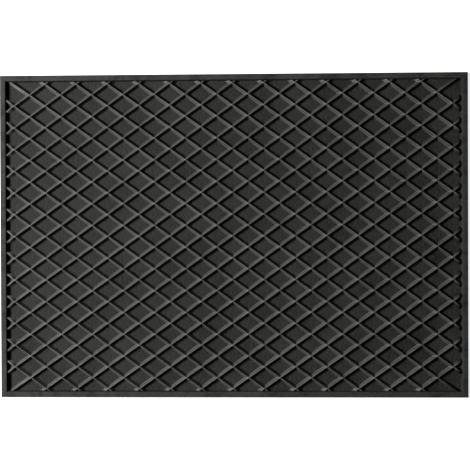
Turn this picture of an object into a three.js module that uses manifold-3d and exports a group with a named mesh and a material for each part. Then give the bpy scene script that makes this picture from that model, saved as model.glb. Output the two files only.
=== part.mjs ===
// A door mat of moulded rubber: a thin floor sheet inside a raised rim, with scraper ribs crossing it
// in diamonds. The real mat is one moulding. It is drawn here as the members that make it up, which
// meet face to face. Millimetres, +Z up, X along the long side, and the origin is the middle of the
// underside.
import * as THREE from "three";
import { mergeVertices } from "three/addons/utils/BufferGeometryUtils.js";
import Module from "manifold-3d";

// Overall size
const matLength = 650; // along X
const matWidth = 450; // along Y

// Floor sheet
const floorThickness = 3;

// Rim: its insets are measured inwards from the mat's edge at the ground
const rimHeight = 8; // above the ground
const rimWallLean = 0.8; // how far the outside wall has leaned in at its top edge
const rimEdgeRadius = 1.2; // of the outside top edge
const rimTopInset = 8.4; // where the flat top ends and the inside wall starts to fall
const rimFootInset = 9.6; // where the inside wall meets the floor sheet
const rimEdgeSteps = 5; // in the rounding of the outside top edge

// Ribs
const ribHeight = 4.5; // crest above the floor sheet
const ribCrestWidth = 1.2;
const ribFootWidth = 7.4;
const ribEndGap = 0.3; // between a rib's end and the rim's inside wall

// Diamonds, counted between the outermost columns and rows of crossings
const diamondsAlong = 14; // along X
const diamondsAcross = 14; // along Y
const crossingInsetX = 20.9; // from the mat's edge to the outermost column of crossings
const crossingInsetY = 12.9; // from the mat's edge to the outermost row of crossings

const diamondLength = (matLength - 2 * crossingInsetX) / diamondsAlong;
const diamondWidth = (matWidth - 2 * crossingInsetY) / diamondsAcross;
const ribPitch = (diamondLength * diamondWidth) / Math.hypot(diamondLength, diamondWidth);
const ribCrestHeight = floorThickness + ribHeight; // above the ground

// Rubber
const rubberColour = 0x2b2b2c;
const rubberRoughness = 0.62;

const wasm = await Module();
wasm.setup();

// A closed three.js geometry as a solid that can be joined and cut.
function solidFrom(geometry) {
  const bare = geometry.clone();
  bare.deleteAttribute("normal");
  bare.deleteAttribute("uv");
  const merged = mergeVertices(bare);
  const vertProperties = merged.getAttribute("position").array;
  const triVerts = new Uint32Array(merged.index.array);
  return new wasm.Manifold(new wasm.Mesh({ numProp: 3, vertProperties, triVerts }));
}

// A solid as a three.js geometry.
function geometryFrom(solid) {
  const { vertProperties, triVerts } = solid.getMesh();
  const geometry = new THREE.BufferGeometry();
  geometry.setAttribute("position", new THREE.BufferAttribute(vertProperties, 3));
  geometry.setIndex(new THREE.BufferAttribute(triVerts, 1));
  geometry.computeVertexNormals();
  return geometry;
}

// The floor sheet fills the space inside the rim's foot.
function floorSheet() {
  const geometry = new THREE.BoxGeometry(
    matLength - 2 * rimFootInset,
    matWidth - 2 * rimFootInset,
    floorThickness,
  );
  return geometry.translate(0, 0, floorThickness / 2);
}

// The rim's section, with the inset from the mat's edge as its x and the height as its y.
function rimSection() {
  const wallTop = rimHeight - rimEdgeRadius;
  const wallTopInset = (rimWallLean * wallTop) / rimHeight;
  const section = new THREE.Shape();
  section.moveTo(0, 0);
  section.lineTo(rimFootInset, 0);
  section.lineTo(rimFootInset, floorThickness);
  section.lineTo(rimTopInset, rimHeight);
  section.lineTo(rimWallLean + rimEdgeRadius, rimHeight);
  section.quadraticCurveTo(rimWallLean, rimHeight, wallTopInset, wallTop);
  section.closePath();
  return section;
}

// A rail of the rim along X, mitred at both ends. It lies at the negative Y side of a mat that is
// otherSide wide there, with its outside wall facing away from the middle.
function rimRail(railLength, otherSide) {
  const options = { depth: 1, bevelEnabled: false, curveSegments: rimEdgeSteps };
  const geometry = new THREE.ExtrudeGeometry(rimSection(), options);
  const position = geometry.getAttribute("position");
  for (let i = 0; i < position.count; i++) {
    const inset = position.getX(i);
    const height = position.getY(i);
    const end = position.getZ(i) > 0 ? 1 : -1;
    position.setXYZ(i, end * (railLength / 2 - inset), inset - otherSide / 2, height);
  }
  geometry.computeVertexNormals();
  return geometry;
}

// How far in from the mat's edge the rim's inside wall stands at a height above the ground.
function insideWallInset(height) {
  const fallen = (rimHeight - height) / (rimHeight - floorThickness);
  return rimTopInset + (rimFootInset - rimTopInset) * fallen;
}

// Moves the upper corners of a geometry to the crests' height and the lower ones to the floor sheet.
// place gives a corner's X and Y from where it is and from how far up it stands.
function layOnFloor(geometry, place) {
  const position = geometry.getAttribute("position");
  for (let i = 0; i < position.count; i++) {
    const height = position.getZ(i) > 0 ? ribCrestHeight : floorThickness;
    const [x, y] = place(position.getX(i), position.getY(i), height);
    position.setXYZ(i, x, y, height);
  }
  return geometry;
}

// The slab that the ribs are cut from: it lies on the floor sheet, and its sides follow the rim's
// inside wall at the width of the gap.
function ribSlab() {
  return layOnFloor(new THREE.BoxGeometry(2, 2, 2), (x, y, height) => {
    const inset = insideWallInset(height) + ribEndGap;
    return [x * (matLength / 2 - inset), y * (matWidth / 2 - inset)];
  });
}

// The diamond space between four ribs, wider at the crests than at the floor, as the ribs' sides
// slope. It has four sides and stands over the middle of the mat.
function diamondSpace() {
  const crestShare = 1 - ribCrestWidth / ribPitch;
  const footShare = 1 - ribFootWidth / ribPitch;
  const geometry = new THREE.CylinderGeometry(crestShare, footShare, ribHeight, 4);
  geometry.rotateX(Math.PI / 2);
  return layOnFloor(geometry, (x, y) => [(x * diamondLength) / 2, (y * diamondWidth) / 2]);
}

// The places of the spaces, in half diamonds from the middle of the mat.
function spacePlaces() {
  const places = [];
  for (let i = -diamondsAlong - 1; i <= diamondsAlong + 1; i++) {
    for (let j = -diamondsAcross - 1; j <= diamondsAcross + 1; j++) {
      if ((i + diamondsAlong + j + diamondsAcross) % 2 !== 0) {
        places.push([i, j]);
      }
    }
  }
  // The rib that would only cut off a corner of the mat is left out: a space on each side of the
  // corner crossing, half over that rib, joins the spaces that the rib would part.
  for (const sideX of [-1, 1]) {
    for (const sideY of [-1, 1]) {
      places.push([sideX * (diamondsAlong - 0.5), sideY * (diamondsAcross + 0.5)]);
      places.push([sideX * (diamondsAlong + 0.5), sideY * (diamondsAcross - 0.5)]);
    }
  }
  return places;
}

// The lattice: two families of straight ribs that cross, as one body.
function diamondLattice() {
  const space = diamondSpace();
  let spaces = null;
  for (const [i, j] of spacePlaces()) {
    const placed = space.clone().translate((i * diamondLength) / 2, (j * diamondWidth) / 2, 0);
    const solid = solidFrom(placed);
    spaces = spaces ? spaces.add(solid) : solid;
  }
  return geometryFrom(solidFrom(ribSlab()).subtract(spaces));
}

const doorMat = new THREE.Group();

// Adds a member under its own name, in rubber, turned about Z.
function add(name, geometry, turn = 0) {
  const rubber = new THREE.MeshStandardMaterial({
    color: rubberColour,
    roughness: rubberRoughness,
    metalness: 0,
  });
  const mesh = new THREE.Mesh(geometry, rubber);
  mesh.name = name;
  mesh.rotation.z = turn;
  doorMat.add(mesh);
}

add("floor_sheet", floorSheet());
add("diamond_lattice", diamondLattice());
add("rim_front", rimRail(matLength, matWidth));
add("rim_back", rimRail(matLength, matWidth), Math.PI);
add("rim_right", rimRail(matWidth, matLength), Math.PI / 2);
add("rim_left", rimRail(matWidth, matLength), -Math.PI / 2);

export default doorMat;
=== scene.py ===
import bpy
import bmesh
import math
from mathutils import Matrix, Vector, noise


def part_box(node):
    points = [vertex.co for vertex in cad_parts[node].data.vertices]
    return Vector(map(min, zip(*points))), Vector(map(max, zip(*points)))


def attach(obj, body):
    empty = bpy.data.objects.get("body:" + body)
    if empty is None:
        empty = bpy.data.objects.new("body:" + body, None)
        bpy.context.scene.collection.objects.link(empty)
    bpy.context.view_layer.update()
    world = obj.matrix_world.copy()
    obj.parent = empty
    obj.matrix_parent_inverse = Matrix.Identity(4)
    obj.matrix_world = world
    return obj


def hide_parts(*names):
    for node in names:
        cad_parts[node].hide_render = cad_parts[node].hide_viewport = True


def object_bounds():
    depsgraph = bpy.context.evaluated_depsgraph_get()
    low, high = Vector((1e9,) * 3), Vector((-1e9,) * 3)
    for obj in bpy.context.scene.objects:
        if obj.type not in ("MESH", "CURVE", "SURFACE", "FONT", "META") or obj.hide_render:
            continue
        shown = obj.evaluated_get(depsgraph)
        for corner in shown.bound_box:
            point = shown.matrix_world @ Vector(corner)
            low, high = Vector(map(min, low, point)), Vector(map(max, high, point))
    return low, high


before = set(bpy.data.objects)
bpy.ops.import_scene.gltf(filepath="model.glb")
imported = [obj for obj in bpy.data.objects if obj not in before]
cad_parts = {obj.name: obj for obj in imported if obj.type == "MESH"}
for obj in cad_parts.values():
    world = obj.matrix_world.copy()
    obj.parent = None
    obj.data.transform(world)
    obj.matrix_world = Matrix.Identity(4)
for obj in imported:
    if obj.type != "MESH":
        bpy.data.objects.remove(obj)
cadLow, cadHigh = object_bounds()

# where the mat and its members stand, in metres
halfLength = cadHigh.x
halfWidth = cadHigh.y
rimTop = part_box("rim_front")[1].z
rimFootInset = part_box("rim_front")[1].y + halfWidth
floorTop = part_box("floor_sheet")[1].z
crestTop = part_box("diamond_lattice")[1].z
mm = 0.001
sharpAngle = math.radians(35)  # edges steeper than this stay crisp
print("frame loaded:", round(halfLength * 2, 3), "by", round(halfWidth * 2, 3), "m")


def addNode(tree, kind, **settings):
    node = tree.nodes.new(kind)
    for name, value in settings.items():
        setattr(node, name, value)
    return node


def feed(tree, node, **inputs):
    # plugs sockets in or sets values; spaces in a socket's name are written as underscores
    for name, value in inputs.items():
        socket = node.inputs[name.replace("_", " ")]
        if isinstance(value, bpy.types.NodeSocket):
            tree.links.new(value, socket)
        else:
            socket.default_value = value
    return node


def calc(tree, operation, *values):
    node = addNode(tree, "ShaderNodeMath", operation=operation)
    for socket, value in zip(node.inputs, values):
        if isinstance(value, bpy.types.NodeSocket):
            tree.links.new(value, socket)
        else:
            socket.default_value = value
    return node.outputs[0]


def setCurve(node, points):
    # a smooth curve through the given points, which never swings past them
    curve = node.mapping.curves[0]
    while len(curve.points) < len(points):
        curve.points.new(0.5, 0.5)
    for point, place in zip(curve.points, points):
        point.location = place
        point.handle_type = "AUTO_CLAMPED"
    node.mapping.update()


def newTree(name, kind, inputs, outputs):
    tree = bpy.data.node_groups.new(name, kind)
    for title, socketType, value in inputs:
        socket = tree.interface.new_socket(title, in_out="INPUT", socket_type=socketType)
        if value is not None:
            socket.default_value = value
    for title, socketType in outputs:
        tree.interface.new_socket(title, in_out="OUTPUT", socket_type=socketType)
    return tree, addNode(tree, "NodeGroupInput"), addNode(tree, "NodeGroupOutput")


def setInput(modifier, name, value):
    for item in modifier.node_group.interface.items_tree:
        if item.item_type == "SOCKET" and item.in_out == "INPUT" and item.name == name:
            modifier[item.identifier] = value


def meshObject(name, vertices, faces, material):
    mesh = bpy.data.meshes.new(name)
    mesh.from_pydata(vertices, [], faces)
    mesh.materials.append(material)
    made = bpy.data.objects.new(name, mesh)
    bpy.context.scene.collection.objects.link(made)
    return made


rubber = {
    "grainSize": 0.9 * mm,  # of the pebbled skin that the mould leaves
    "mottleSize": 3.6 * mm,
    "cloudSize": 60 * mm,
    # a paler tint for the tops: rubbed wear, and on the ribs a painted highlight along the crests
    "scuffAndHighlightColour": (0.078, 0.078, 0.074),
    "scuffAndHighlightSize": 14 * mm,
    "dustColour": (0.075, 0.071, 0.064),
    "dustSize": 35 * mm,
    "cloudShare": 0.6,  # of the unevenness, and the rest is mottle
    "roughSpread": 0.3,  # between the smoothest and the roughest patches
    "scuffShine": 0.12,
    "dustDulling": 0.3,
}


def buildGrain():
    # the skin of moulded rubber: fine pebbles, a mottle and slow clouds, each from 0 to 1
    tree, given, result = newTree("mouldedGrain", "ShaderNodeTree",
        [("Vector", "NodeSocketVector", None), ("Grain Size", "NodeSocketFloat", 0.001),
         ("Mottle Size", "NodeSocketFloat", 0.005), ("Cloud Size", "NodeSocketFloat", 0.06),
         ("Mottle Weight", "NodeSocketFloat", 0.6)],
        [("Height", "NodeSocketFloat"), ("Mottle", "NodeSocketFloat"), ("Cloud", "NodeSocketFloat")])
    layers = []
    for size, detail in (("Grain Size", 3.0), ("Mottle Size", 2.0), ("Cloud Size", 3.0)):
        scale = calc(tree, "DIVIDE", 1.0, given.outputs[size])
        layer = feed(tree, addNode(tree, "ShaderNodeTexNoise"),
            Vector=given.outputs["Vector"], Scale=scale, Detail=detail, Roughness=0.6)
        stretched = feed(tree, addNode(tree, "ShaderNodeMapRange"),
            Value=layer.outputs["Fac"], From_Min=0.3, From_Max=0.7)
        layers.append(stretched.outputs["Result"])
    pebbles, mottle, cloud = layers
    height = calc(tree, "ADD", calc(tree, "MULTIPLY", mottle, given.outputs["Mottle Weight"]), pebbles)
    feed(tree, result, Height=height, Mottle=mottle, Cloud=cloud)
    return tree


def buildScuffAndHighlight():
    # the topmost part of the rubber, in uneven patches: where soles rub, and on the ribs also where a
    # highlight along the crests is painted in
    tree, given, result = newTree("topScuffAndHighlight", "ShaderNodeTree",
        [("Vector", "NodeSocketVector", None), ("Top Level", "NodeSocketFloat", 0.008),
         ("Depth", "NodeSocketFloat", 0.001), ("Patch Size", "NodeSocketFloat", 0.01)],
        [("Mask", "NodeSocketFloat")])
    place = addNode(tree, "ShaderNodeSeparateXYZ")
    feed(tree, place, Vector=given.outputs["Vector"])
    below = calc(tree, "SUBTRACT", given.outputs["Top Level"], place.outputs["Z"])
    nearTop = feed(tree, addNode(tree, "ShaderNodeMapRange", interpolation_type="SMOOTHSTEP"),
        Value=below, From_Min=given.outputs["Depth"], From_Max=0.0)
    patchScale = calc(tree, "DIVIDE", 1.0, given.outputs["Patch Size"])
    patches = feed(tree, addNode(tree, "ShaderNodeTexNoise"),
        Vector=given.outputs["Vector"], Scale=patchScale, Detail=5.0, Roughness=0.65)
    rubbed = feed(tree, addNode(tree, "ShaderNodeMapRange", interpolation_type="SMOOTHSTEP"),
        Value=patches.outputs["Fac"], From_Min=0.3, From_Max=0.6)
    feed(tree, result, Mask=calc(tree, "MULTIPLY", nearTop.outputs["Result"], rubbed.outputs["Result"]))
    return tree


def buildDust():
    # a thin uneven film of dry dust with specks in it
    tree, given, result = newTree("dustFilm", "ShaderNodeTree",
        [("Vector", "NodeSocketVector", None), ("Film Size", "NodeSocketFloat", 0.03),
         ("Amount", "NodeSocketFloat", 0.3)],
        [("Mask", "NodeSocketFloat")])
    filmScale = calc(tree, "DIVIDE", 1.0, given.outputs["Film Size"])
    film = feed(tree, addNode(tree, "ShaderNodeTexNoise"),
        Vector=given.outputs["Vector"], Scale=filmScale, Detail=6.0, Roughness=0.7, Distortion=0.4)
    spread = feed(tree, addNode(tree, "ShaderNodeMapRange", interpolation_type="SMOOTHSTEP"),
        Value=film.outputs["Fac"], From_Min=0.4, From_Max=0.75)
    speckScale = calc(tree, "MULTIPLY", filmScale, 30.0)
    specks = feed(tree, addNode(tree, "ShaderNodeTexNoise"),
        Vector=given.outputs["Vector"], Scale=speckScale, Detail=1.0)
    specked = feed(tree, addNode(tree, "ShaderNodeMapRange"),
        Value=specks.outputs["Fac"], From_Min=0.35, From_Max=0.7, To_Min=0.3, To_Max=1.0)
    mask = calc(tree, "MULTIPLY", spread.outputs["Result"], specked.outputs["Result"])
    feed(tree, result, Mask=calc(tree, "MULTIPLY", mask, given.outputs["Amount"]))
    return tree


grainGroup = buildGrain()
scuffAndHighlightGroup = buildScuffAndHighlight()
dustGroup = buildDust()


def tintOver(tree, base, colour, mask):
    # lays a colour over another where the mask is white
    mix = addNode(tree, "ShaderNodeMix", data_type="RGBA")
    tree.links.new(mask, mix.inputs["Factor"])
    if isinstance(base, bpy.types.NodeSocket):
        tree.links.new(base, mix.inputs["A"])
    else:
        mix.inputs["A"].default_value = (*base, 1)
    mix.inputs["B"].default_value = (*colour, 1)
    return mix.outputs["Result"]


def makeRubber(name, look, topLevel):
    material = bpy.data.materials.new(name)
    material.use_nodes = True
    tree = material.node_tree
    shader = tree.nodes["Principled BSDF"]
    where = addNode(tree, "ShaderNodeTexCoord").outputs["Object"]
    grain = addNode(tree, "ShaderNodeGroup", node_tree=grainGroup)
    feed(tree, grain, Vector=where, Grain_Size=rubber["grainSize"],
        Mottle_Size=rubber["mottleSize"], Cloud_Size=rubber["cloudSize"],
        Mottle_Weight=look["mottle"])
    scuffAndHighlight = addNode(tree, "ShaderNodeGroup", node_tree=scuffAndHighlightGroup)
    feed(tree, scuffAndHighlight, Vector=where, Top_Level=topLevel, Depth=look["scuffAndHighlightDepth"],
        Patch_Size=rubber["scuffAndHighlightSize"])
    dust = addNode(tree, "ShaderNodeGroup", node_tree=dustGroup)
    feed(tree, dust, Vector=where, Film_Size=rubber["dustSize"], Amount=look["dust"])

    # colour: cloudy rubber, paler where it is rubbed and where a highlight is painted along the tops, and
    # dust on top
    varied = calc(tree, "ADD", calc(tree, "MULTIPLY", grain.outputs["Cloud"], rubber["cloudShare"]),
        calc(tree, "MULTIPLY", grain.outputs["Mottle"], 1 - rubber["cloudShare"]))
    dark = [c * (1 - look["unevenness"]) for c in look["colour"]]
    pale = [c * (1 + look["unevenness"]) for c in look["colour"]]
    colour = tintOver(tree, dark, pale, varied)
    # painted highlight: near the tops the colour is made paler, for rubbed wear and, on the ribs, for the
    # light along the crests
    rubbedAndHighlightMask = calc(tree, "MULTIPLY", scuffAndHighlight.outputs["Mask"], look["scuffAndHighlight"])
    colour = tintOver(tree, colour, rubber["scuffAndHighlightColour"], rubbedAndHighlightMask)
    colour = tintOver(tree, colour, rubber["dustColour"], dust.outputs["Mask"])
    tree.links.new(colour, shader.inputs["Base Color"])

    # gloss: uneven, smoother where it is rubbed and duller under dust
    smoothest = look["roughness"] - rubber["roughSpread"] / 2
    rough = calc(tree, "ADD", smoothest, calc(tree, "MULTIPLY", varied, rubber["roughSpread"]))
    rough = calc(tree, "SUBTRACT", rough, calc(tree, "MULTIPLY", rubbedAndHighlightMask, rubber["scuffShine"]))
    dulled = calc(tree, "MULTIPLY", dust.outputs["Mask"], rubber["dustDulling"])
    rough = calc(tree, "ADD", rough, dulled)
    tree.links.new(rough, shader.inputs["Roughness"])
    shader.inputs["Specular IOR Level"].default_value = look["gloss"]
    bump = feed(tree, addNode(tree, "ShaderNodeBump"),
        Height=grain.outputs["Height"], Strength=1.0, Distance=look["grainDepth"])
    tree.links.new(bump.outputs["Normal"], shader.inputs["Normal"])
    return material


print("rubber effects made")

ribs = {
    "colour": (0.024, 0.024, 0.022),
    "roughness": 0.63,
    "gloss": 0.62,
    "grainDepth": 0.03 * mm,
    "mottle": 2.0,
    "unevenness": 0.3,
    # the ribs' tops are painted paler: partly rubbed wear, partly a painted highlight along the crests
    "scuffAndHighlight": 0.9,
    "scuffAndHighlightDepth": 3.2 * mm,  # how far down from the crest the ribs are painted paler: rubbed wear, and a painted highlight
    "dust": 0.06,
    "diamondsAlong": 14,  # between the outermost crossings
    "diamondsAcross": 14,
    "crossingInsetX": 20.9 * mm,  # from the mat's edge to the outermost crossings
    "crossingInsetY": 12.9 * mm,
    "footWidth": 7.4 * mm,
    "linesAcross": 11,  # grid lines that model one rib's section
    "valleyFillet": 2.5 * mm,
    "sink": 0.03 * mm,  # the feet end just under the floor sheet's face
    "mergeDistance": 0.002 * mm,  # joins the two sides along the edges of the diamonds
    "cutTolerance": 0.0001 * mm,
    "endInset": 9.9 * mm,  # from the mat's edge to where the ribs stop, just short of the rim
    # half of the section, as shares of half the foot's width and of the height
    "section": [(0, 1), (0.08, 0.985), (0.18, 0.88), (0.42, 0.46), (0.7, 0.1), (0.87, 0.012), (1, 0)],
    # where the lines lie, from the crest at 0 to the foot at 1
    "lineSpacing": [(0, 0), (0.2, 0.09), (0.4, 0.2), (0.6, 0.46), (0.8, 0.76), (1, 1)],
}
ribRubber = makeRubber("ribRubber", ribs, crestTop)


def buildLineGroup():
    # the place of one grid line, counted across all the ribs of one family
    tree, given, result = newTree("ribLine", "GeometryNodeTree",
        [("Number", "NodeSocketFloat", 0), ("Ribs", "NodeSocketFloat", 3),
         ("Lines Across", "NodeSocketFloat", 5), ("Pitch", "NodeSocketFloat", 0.02),
         ("Foot Width", "NodeSocketFloat", 0.008)],
        [("Place", "NodeSocketFloat"), ("Share Height", "NodeSocketFloat")])
    ask = given.outputs
    counted = calc(tree, "SUBTRACT", ask["Number"], 1.0)
    rib = calc(tree, "FLOOR", calc(tree, "DIVIDE", calc(tree, "ADD", counted, 0.5), ask["Lines Across"]))
    line = calc(tree, "SUBTRACT", counted, calc(tree, "MULTIPLY", rib, ask["Lines Across"]))
    lastLine = calc(tree, "SUBTRACT", ask["Lines Across"], 1.0)
    across = calc(tree, "SUBTRACT", calc(tree, "DIVIDE", calc(tree, "MULTIPLY", line, 2.0), lastLine), 1.0)
    spacing = addNode(tree, "ShaderNodeFloatCurve")
    setCurve(spacing, ribs["lineSpacing"])
    feed(tree, spacing, Value=calc(tree, "ABSOLUTE", across))
    section = addNode(tree, "ShaderNodeFloatCurve")
    setCurve(section, ribs["section"])
    feed(tree, section, Value=spacing.outputs[0])
    halfFoot = calc(tree, "DIVIDE", ask["Foot Width"], 2.0)
    offset = calc(tree, "MULTIPLY", calc(tree, "MULTIPLY", spacing.outputs[0], halfFoot),
        calc(tree, "SIGN", across))
    middleRib = calc(tree, "DIVIDE", calc(tree, "SUBTRACT", ask["Ribs"], 1.0), 2.0)
    # the first and last line stand further out, so that the ribs reach past the mat's corners
    beyond = calc(tree, "MULTIPLY", calc(tree, "FLOOR", calc(tree, "DIVIDE",
        calc(tree, "ADD", rib, 0.5), ask["Ribs"])), 2.0)
    pitches = calc(tree, "ADD", calc(tree, "SUBTRACT", rib, middleRib), beyond)
    place = calc(tree, "ADD", calc(tree, "MULTIPLY", pitches, ask["Pitch"]), offset)
    feed(tree, result, Place=place, Share_Height=section.outputs[0])
    return tree


def buildSheetGroup(lineGroup):
    # one side of the lattice: a slanted grid raised to the ribs' section, with the diamonds open
    tree, given, result = newTree("ribSheet", "GeometryNodeTree",
        [("Ribs", "NodeSocketInt", 27), ("Lines Across", "NodeSocketInt", 5),
         ("Pitch", "NodeSocketFloat", 0.02), ("Angle", "NodeSocketFloat", 0.6),
         ("Foot Width", "NodeSocketFloat", 0.008), ("Height", "NodeSocketFloat", 0.005),
         ("Foot Level", "NodeSocketFloat", 0.003), ("Valley Fillet", "NodeSocketFloat", 0.002)],
        [("Geometry", "NodeSocketGeometry")])
    ask = given.outputs
    lines = calc(tree, "ADD", calc(tree, "MULTIPLY", ask["Ribs"], ask["Lines Across"]), 2.0)
    grid = addNode(tree, "GeometryNodeMeshGrid")
    feed(tree, grid, Vertices_X=lines, Vertices_Y=lines)
    index = addNode(tree, "GeometryNodeInputIndex").outputs[0]
    column = calc(tree, "FLOOR", calc(tree, "DIVIDE", calc(tree, "ADD", index, 0.5), lines))
    row = calc(tree, "SUBTRACT", index, calc(tree, "MULTIPLY", column, lines))
    families = []
    for number in (row, column):
        line = addNode(tree, "GeometryNodeGroup", node_tree=lineGroup)
        feed(tree, line, Number=number, Ribs=ask["Ribs"], Lines_Across=ask["Lines Across"],
            Pitch=ask["Pitch"], Foot_Width=ask["Foot Width"])
        families.append(line.outputs)
    rising, falling = families
    sine = calc(tree, "MULTIPLY", calc(tree, "SINE", ask["Angle"]), 2.0)
    cosine = calc(tree, "MULTIPLY", calc(tree, "COSINE", ask["Angle"]), 2.0)
    x = calc(tree, "DIVIDE", calc(tree, "SUBTRACT", falling["Place"], rising["Place"]), sine)
    y = calc(tree, "DIVIDE", calc(tree, "ADD", falling["Place"], rising["Place"]), cosine)
    # the two families meet in a fillet that fades out at the crest and at the foot
    tallest = calc(tree, "MAXIMUM", rising["Share Height"], falling["Share Height"])
    shortOfCrest = calc(tree, "SUBTRACT", 1.0, tallest)
    fade = calc(tree, "MULTIPLY", calc(tree, "MULTIPLY", tallest, shortOfCrest), 4.0)
    blend = calc(tree, "DIVIDE", calc(tree, "MULTIPLY", ask["Valley Fillet"], fade), ask["Height"])
    share = calc(tree, "SMOOTH_MAX", rising["Share Height"], falling["Share Height"], blend)
    z = calc(tree, "ADD", calc(tree, "MULTIPLY", share, ask["Height"]), ask["Foot Level"])
    place = addNode(tree, "ShaderNodeCombineXYZ")
    feed(tree, place, X=x, Y=y, Z=z)
    raised = addNode(tree, "GeometryNodeSetPosition")
    feed(tree, raised, Geometry=grid.outputs["Mesh"], Position=place.outputs[0])
    # a diamond lies between two ribs both ways: the faces are counted as the lines are
    faceIndex = addNode(tree, "GeometryNodeInputIndex").outputs[0]
    rowFaces = calc(tree, "SUBTRACT", lines, 1.0)
    faceColumn = calc(tree, "FLOOR", calc(tree, "DIVIDE", calc(tree, "ADD", faceIndex, 0.5), rowFaces))
    faceRow = calc(tree, "SUBTRACT", faceIndex, calc(tree, "MULTIPLY", faceColumn, rowFaces))
    between = []
    for number in (faceRow, faceColumn):
        lineInRib = calc(tree, "FLOORED_MODULO", number, ask["Lines Across"])
        between.append(calc(tree, "LESS_THAN", lineInRib, 0.5))
    opened = addNode(tree, "GeometryNodeDeleteGeometry", domain="FACE")
    feed(tree, opened, Geometry=raised.outputs["Geometry"],
        Selection=calc(tree, "MULTIPLY", between[0], between[1]))
    feed(tree, result, Geometry=opened.outputs["Geometry"])
    return tree


def buildLattice():
    spanX = 2 * (halfLength - ribs["crossingInsetX"]) / ribs["diamondsAlong"]
    spanY = 2 * (halfWidth - ribs["crossingInsetY"]) / ribs["diamondsAcross"]
    sheetGroup = buildSheetGroup(buildLineGroup())
    tree, given, result = newTree("diamondLattice", "GeometryNodeTree",
        [("Geometry", "NodeSocketGeometry", None), ("Ribs Each Way", "NodeSocketInt", 27),
         ("Lines Across", "NodeSocketInt", 5), ("Diamond Length", "NodeSocketFloat", 0.04),
         ("Diamond Width", "NodeSocketFloat", 0.03), ("Foot Width", "NodeSocketFloat", 0.008),
         ("Height", "NodeSocketFloat", 0.005), ("Foot Level", "NodeSocketFloat", 0.003),
         ("Valley Fillet", "NodeSocketFloat", 0.002), ("Material", "NodeSocketMaterial", None)],
        [("Geometry", "NodeSocketGeometry")])
    ask = given.outputs
    angle = calc(tree, "ARCTAN2", ask["Diamond Width"], ask["Diamond Length"])
    pitch = calc(tree, "MULTIPLY", ask["Diamond Length"], calc(tree, "SINE", angle))
    sides = []
    for linesAcross, height in ((ask["Lines Across"], ask["Height"]), (2, 0.0)):
        side = addNode(tree, "GeometryNodeGroup", node_tree=sheetGroup)
        feed(tree, side, Ribs=ask["Ribs Each Way"], Lines_Across=linesAcross, Pitch=pitch,
            Angle=angle, Foot_Width=ask["Foot Width"], Height=height,
            Foot_Level=ask["Foot Level"], Valley_Fillet=ask["Valley Fillet"])
        sides.append(side.outputs["Geometry"])
    underside = addNode(tree, "GeometryNodeFlipFaces")
    feed(tree, underside, Mesh=sides[1])
    joined = addNode(tree, "GeometryNodeJoinGeometry")
    tree.links.new(underside.outputs["Mesh"], joined.inputs[0])
    tree.links.new(sides[0], joined.inputs[0])
    merged = addNode(tree, "GeometryNodeMergeByDistance")
    feed(tree, merged, Geometry=joined.outputs[0], Distance=ribs["mergeDistance"])
    realized = addNode(tree, "GeometryNodeRealizeInstances")
    feed(tree, realized, Geometry=merged.outputs["Geometry"])
    painted = addNode(tree, "GeometryNodeSetMaterial")
    feed(tree, painted, Geometry=realized.outputs["Geometry"], Material=ask["Material"])
    feed(tree, result, Geometry=painted.outputs["Geometry"])

    maker = meshObject("latticeMaker", [], [], ribRubber)
    modifier = maker.modifiers.new("ribs", "NODES")
    modifier.node_group = tree
    for name, value in {
        "Ribs Each Way": ribs["diamondsAlong"] + ribs["diamondsAcross"] - 1,
        "Lines Across": ribs["linesAcross"],
        "Diamond Length": spanX,
        "Diamond Width": spanY,
        "Foot Width": ribs["footWidth"],
        "Height": crestTop - floorTop + ribs["sink"],
        "Foot Level": floorTop - ribs["sink"],
        "Valley Fillet": ribs["valleyFillet"],
        "Material": ribRubber,
    }.items():
        setInput(modifier, name, value)
    evaluated = maker.evaluated_get(bpy.context.evaluated_depsgraph_get())
    mesh = bpy.data.meshes.new_from_object(evaluated)
    bpy.data.objects.remove(maker)
    return trimLattice(mesh)


def trimLattice(mesh):
    # cuts the ribs off just inside the rim and closes their ends
    form = bmesh.new()
    form.from_mesh(mesh)
    for axis, half in ((0, halfLength), (1, halfWidth)):
        for side in (-1, 1):
            normal = Vector((0, 0, 0))
            normal[axis] = side
            everything = form.verts[:] + form.edges[:] + form.faces[:]
            cut = bmesh.ops.bisect_plane(form, geom=everything, dist=ribs["cutTolerance"],
                plane_co=normal * (half - ribs["endInset"]), plane_no=normal, clear_outer=True)
            edges = [e for e in cut["geom_cut"] if isinstance(e, bmesh.types.BMEdge)]
            bmesh.ops.holes_fill(form, edges=edges, sides=0)
    form.to_mesh(mesh)
    form.free()
    mesh.name = "diamondLattice"
    made = bpy.data.objects.new("diamondLattice", mesh)
    bpy.context.scene.collection.objects.link(made)
    mesh.shade_smooth()
    return made


diamondLattice = buildLattice()
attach(diamondLattice, "root")
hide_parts("diamond_lattice")
print("lattice made:", len(diamondLattice.data.polygons), "faces")

rim = {
    "colour": (0.0180, 0.0180, 0.0166),
    "roughness": 0.75,
    "gloss": 0.1,
    "grainDepth": 0.03 * mm,
    "mottle": 4.0,
    "unevenness": 0.5,
    "scuffAndHighlight": 0.3,
    "scuffAndHighlightDepth": 0.8 * mm,
    "dust": 0.05,
    "wallLean": 0.8 * mm,
    "topInset": 8.4 * mm,  # from the mat's edge to where the inside wall starts to fall
    "outerRadius": 0.9 * mm,
    "innerRadius": 0.6 * mm,
    "footFillet": 0.6 * mm,
    "groundRadius": 0.5 * mm,
    "cornerRadius": 1.4 * mm,  # of the mat's outline
    "cornerSteps": 5,
    "arcSteps": 4,  # in each rounding of the section
    "toeReach": 1.4 * mm,  # how far the foot runs on inside the floor sheet
    "toeSink": 0.03 * mm,  # and how far it stays under the sheet's face
    "toeSlope": 0.01 * mm,
    "heelInset": 0.2 * mm,
}
rimRubber = makeRubber("rimRubber", rim, rimTop)


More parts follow.
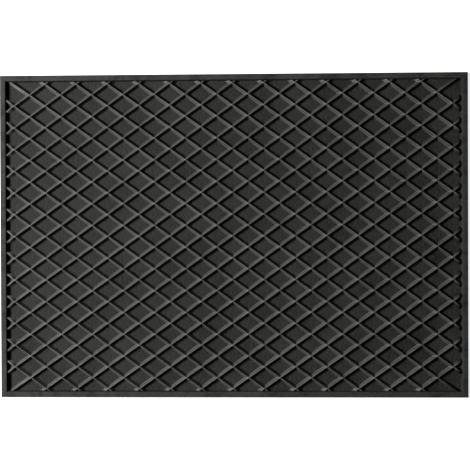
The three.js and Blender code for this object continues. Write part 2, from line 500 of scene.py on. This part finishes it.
def roundCorners(corners, steps):
    # a closed outline with an arc at each corner that has a radius
    outline = []
    for i, (x, y, radius) in enumerate(corners):
        here = Vector((x, y))
        before = (Vector(corners[i - 1][:2]) - here).normalized()
        after = (Vector(corners[(i + 1) % len(corners)][:2]) - here).normalized()
        if radius == 0:
            outline.append(here)
            continue
        half = before.angle(after) / 2
        centre = here + (before + after).normalized() * (radius / math.sin(half))
        start = here + before * (radius / math.tan(half)) - centre
        end = here + after * (radius / math.tan(half)) - centre
        for step in range(steps + 1):
            outline.append(centre + start.slerp(end, step / steps) * radius)
    return outline


def rimSection():
    # each corner's inset from the mat's edge, its height and its radius
    toe = floorTop - rim["toeSink"]
    toeEnd = rimFootInset + rim["toeReach"]
    return roundCorners([
        (0, 0, rim["groundRadius"]),
        (rimFootInset - rim["heelInset"], 0, 0),
        (toeEnd, floorTop / 2, 0),
        (toeEnd, toe - rim["toeSlope"], 0),
        (rimFootInset, toe, rim["footFillet"]),
        (rim["topInset"], rimTop, rim["innerRadius"]),
        (rim["wallLean"], rimTop, rim["outerRadius"]),
    ], rim["arcSteps"])


def makeRail(name, half, otherHalf, quarterTurns):
    # a rail along X at the -Y side, mitred at both ends, then turned about the middle of the mat
    section = rimSection()
    radius = rim["cornerRadius"]
    bend = []
    for step in range(rim["cornerSteps"] + 1):
        turn = math.pi / 4 * step / rim["cornerSteps"]
        bend.append((math.sin(turn), math.cos(turn)))
    stations = [(-1, s, c) for s, c in reversed(bend)] + [(1, s, c) for s, c in bend]
    form = bmesh.new()
    rings = []
    for side, sine, cosine in stations:
        ring = []
        for inset, height in section:
            swing = max(radius - inset, 0)
            flat = max(radius, inset)
            x = side * (half - flat + swing * sine)
            y = -(otherHalf - flat + swing * cosine)
            for _ in range(quarterTurns):
                x, y = -y, x
            ring.append(form.verts.new((x, y, height)))
        rings.append(ring)
    count = len(section)
    for first, second in zip(rings, rings[1:]):
        for i in range(count):
            j = (i + 1) % count
            form.faces.new((first[i], first[j], second[j], second[i]))
    form.faces.new(rings[0])
    form.faces.new(list(reversed(rings[-1])))
    hair = 0.001 * mm
    bmesh.ops.remove_doubles(form, verts=form.verts, dist=hair)
    bmesh.ops.dissolve_degenerate(form, edges=form.edges, dist=hair)
    bmesh.ops.recalc_face_normals(form, faces=form.faces)
    rail = meshObject(name, [], [], rimRubber)
    form.to_mesh(rail.data)
    form.free()
    rail.data.shade_smooth()
    rail.data.set_sharp_from_angle(angle=sharpAngle)
    return rail


for name, node, half, otherHalf, quarterTurns in (
    ("rimFront", "rim_front", halfLength, halfWidth, 0),
    ("rimRight", "rim_right", halfWidth, halfLength, 1),
    ("rimBack", "rim_back", halfLength, halfWidth, 2),
    ("rimLeft", "rim_left", halfWidth, halfLength, 3),
):
    rail = makeRail(name, half, otherHalf, quarterTurns)
    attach(rail, "root")
    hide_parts(node)
print("rim made")

floor = {
    "colour": (0.0138, 0.0138, 0.0127),
    "roughness": 0.85,
    "gloss": 0.3,
    "grainDepth": 0.05 * mm,
    "mottle": 8.0,
    "unevenness": 0.95,
    "scuffAndHighlight": 0.0,  # no rubbed wear and no painted highlight here: soles don't reach it
    "scuffAndHighlightDepth": 1.0 * mm,
    "dust": 0.08,
    "facesAlong": 80,
    "facesAcross": 56,
    "waviness": 0.05 * mm,  # how far the face rises and falls, as on any thin rubber sheet
    "waveLength": 70 * mm,
}
floorRubber = makeRubber("floorRubber", floor, floorTop)


def makeFloorSheet():
    # a fine grid that waves a little, with straight sides and a flat underside
    halfX = halfLength - rimFootInset
    halfY = halfWidth - rimFootInset
    columns = floor["facesAlong"]
    rows = floor["facesAcross"]
    form = bmesh.new()
    grid = []
    for i in range(columns + 1):
        line = []
        for j in range(rows + 1):
            x = halfX * (2 * i / columns - 1)
            y = halfY * (2 * j / rows - 1)
            wave = noise.noise(Vector((x, y, 0)) / floor["waveLength"]) * floor["waviness"]
            line.append(form.verts.new((x, y, floorTop - floor["waviness"] / 2 + wave / 2)))
        grid.append(line)
    for i in range(columns):
        for j in range(rows):
            form.faces.new((grid[i][j], grid[i + 1][j], grid[i + 1][j + 1], grid[i][j + 1]))
    edge = [line[0] for line in grid] + grid[-1][1:]
    edge += [line[-1] for line in reversed(grid[:-1])] + list(reversed(grid[0][1:-1]))
    under = [form.verts.new((v.co.x, v.co.y, 0)) for v in edge]
    for i in range(len(edge)):
        j = (i + 1) % len(edge)
        form.faces.new((edge[j], edge[i], under[i], under[j]))
    form.faces.new(list(reversed(under)))
    sheet = meshObject("floorSheet", [], [], floorRubber)
    form.to_mesh(sheet.data)
    form.free()
    sheet.data.shade_smooth()
    sheet.data.set_sharp_from_angle(angle=sharpAngle)
    return sheet


floorSheet = makeFloorSheet()
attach(floorSheet, "root")
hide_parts("floor_sheet")
print("floor sheet made")

studio = {
    "cameraPlace": (0.0357, 0.0093, 1.25),
    "cameraTarget": (0.0029, 0.0011, 0.0),
    "cameraRoll": -0.0039,  # radians
    "lens": 68.7,
    "clipEnd": 100,
    "keyDistance": 2.1,
    "keyHeight": 34.0,  # degrees above the floor
    "keyTurn": 174.0,  # degrees round from the mat's right-hand side
    "keySize": 0.55,
    "keyPower": 96,
    "paperColour": (0.86, 0.86, 0.86),
    "paperRoughness": 0.9,
    "paperGlow": 0.78,  # keeps the paper white in the mat's shadow
    "paperReach": 60,  # metres to its far edges
    "paperDrop": 0.3 * mm,  # under the mat
    "roomColour": (0.9, 0.9, 0.9),
    "roomLight": 0.02,  # how strongly the room lights the mat
    "roomSeen": 0.9,  # how bright it is where it is seen
}


def aim(thing, target, roll=0.0):
    # turns a camera or a light towards a place, with +Y up in its picture, and then rolls it
    back = (thing.location - Vector(target)).normalized()
    level = Vector((0, 1, 0)).cross(back).normalized()
    right = level * math.cos(roll) + back.cross(level) * math.sin(roll)
    turn = Matrix((right, back.cross(right), back)).transposed()
    thing.rotation_mode = "QUATERNION"
    thing.rotation_quaternion = turn.to_quaternion()


camera = bpy.data.objects.new("camera", bpy.data.cameras.new("camera"))
camera.location = studio["cameraPlace"]
camera.data.lens = studio["lens"]
camera.data.clip_end = studio["clipEnd"]
aim(camera, studio["cameraTarget"], studio["cameraRoll"])
bpy.context.scene.collection.objects.link(camera)
bpy.context.scene.camera = camera

keyLight = bpy.data.objects.new("keyLight", bpy.data.lights.new("keyLight", "AREA"))
keyHeight, keyTurn = math.radians(studio["keyHeight"]), math.radians(studio["keyTurn"])
keyLight.location = studio["keyDistance"] * Vector((math.cos(keyHeight) * math.cos(keyTurn),
    math.cos(keyHeight) * math.sin(keyTurn), math.sin(keyHeight)))
keyLight.data.shape = "SQUARE"
keyLight.data.size = studio["keySize"]
keyLight.data.energy = studio["keyPower"]
aim(keyLight, (0, 0, 0))
bpy.context.scene.collection.objects.link(keyLight)

paper = bpy.data.materials.new("paper")
paper.use_nodes = True
paperShader = paper.node_tree.nodes["Principled BSDF"]
paperShader.inputs["Base Color"].default_value = (*studio["paperColour"], 1)
paperShader.inputs["Roughness"].default_value = studio["paperRoughness"]
paperShader.inputs["Emission Color"].default_value = (1, 1, 1, 1)
paperShader.inputs["Emission Strength"].default_value = studio["paperGlow"]
reach = studio["paperReach"]
paperCorners = [(x * reach, y * reach, -studio["paperDrop"])
    for x, y in ((-1, -1), (1, -1), (1, 1), (-1, 1))]
ground = meshObject("ground", paperCorners, [(0, 1, 2, 3)], paper)

world = bpy.data.worlds.new("room")
world.use_nodes = True
bpy.context.scene.world = world
room = world.node_tree
background = room.nodes["Background"]
sight = addNode(room, "ShaderNodeLightPath")
strength = addNode(room, "ShaderNodeMix")
room.links.new(sight.outputs["Is Camera Ray"], strength.inputs["Factor"])
strength.inputs["A"].default_value = studio["roomLight"]
strength.inputs["B"].default_value = studio["roomSeen"]
room.links.new(strength.outputs["Result"], background.inputs["Strength"])
background.inputs["Color"].default_value = (*studio["roomColour"], 1)
bpy.context.scene.view_settings.view_transform = "Standard"
print("studio made")
